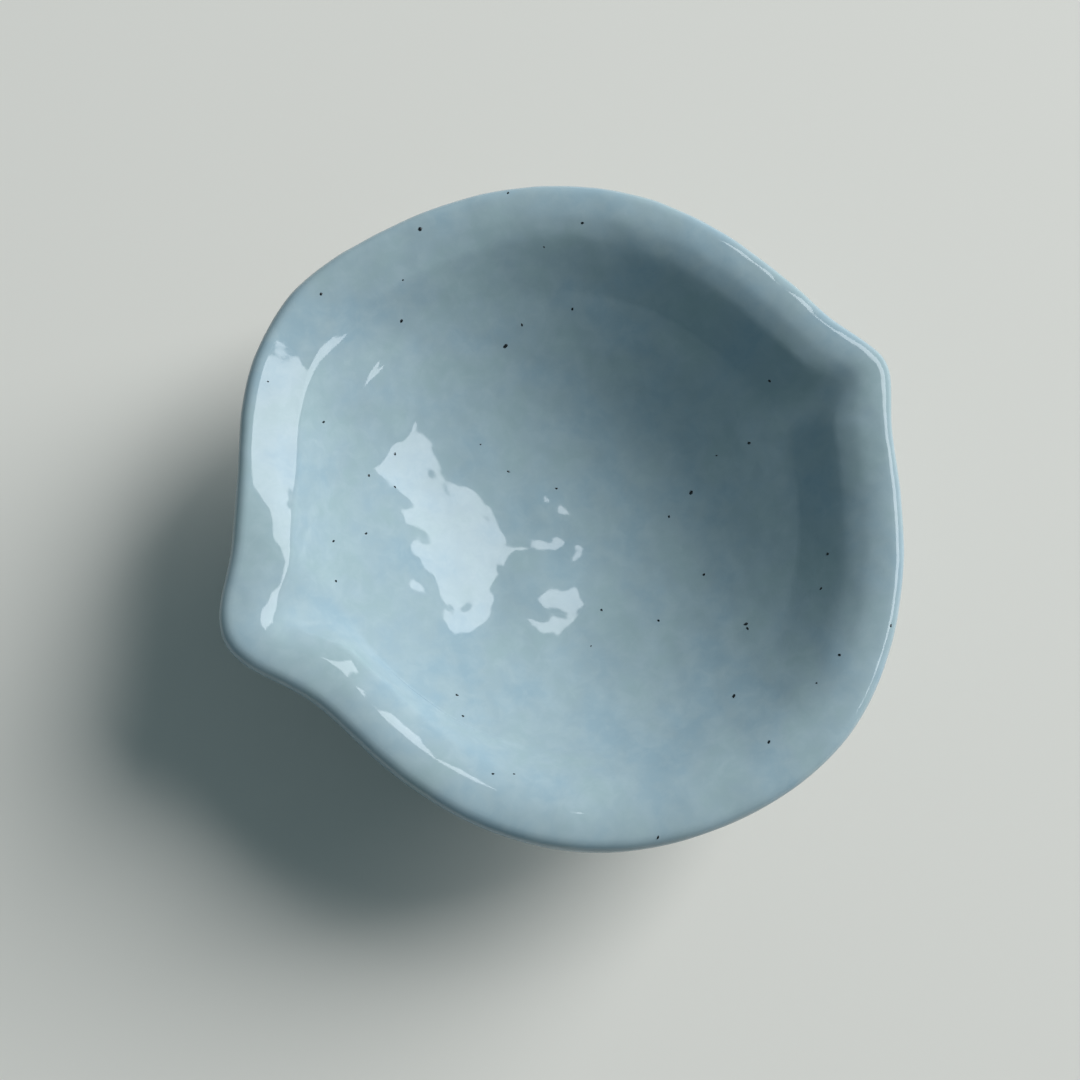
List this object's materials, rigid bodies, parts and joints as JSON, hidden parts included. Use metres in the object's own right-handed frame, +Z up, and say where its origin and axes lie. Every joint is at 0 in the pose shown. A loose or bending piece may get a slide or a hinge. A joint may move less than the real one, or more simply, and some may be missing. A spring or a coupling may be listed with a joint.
{
  "type": "soy sauce dish",
  "caption": "Small hand-formed stoneware dish with a shallow round well, a thick flared lip pinched out to pouring corners, a luted foot ring and glossy glaze, for soy sauce at the table.",
  "frame": {"origin": "on the table plane, under the middle of the rim, at the centre of the foot ring", "axes": "+Z up; +X from the foot's centre to the front pouring corner, with the back pouring corner at -X"},
  "size_m": [0.1101, 0.1055, 0.0326],
  "materials": {
    "stoneware_body": "bisque-fired stoneware under the glaze",
    "stoneware_foot": "bare stoneware, toasted and wiped",
    "stoneware_slip": "fired slip",
    "glaze_inside": "glossy pale blue-grey glaze, mottled, with iron specks",
    "glaze_outside": "glossy pale blue-grey glaze, mottled, with iron specks",
    "glaze_base": "glossy pale blue-grey glaze"
  },
  "bodies": {
    "root": {"clay_bowl": "stoneware_body", "foot_ring": "stoneware_foot", "luting_slip": "stoneware_slip", "liner_glaze": "glaze_inside", "outer_glaze": "glaze_outside", "base_glaze": "glaze_base"}
  },
  "joints": []
}
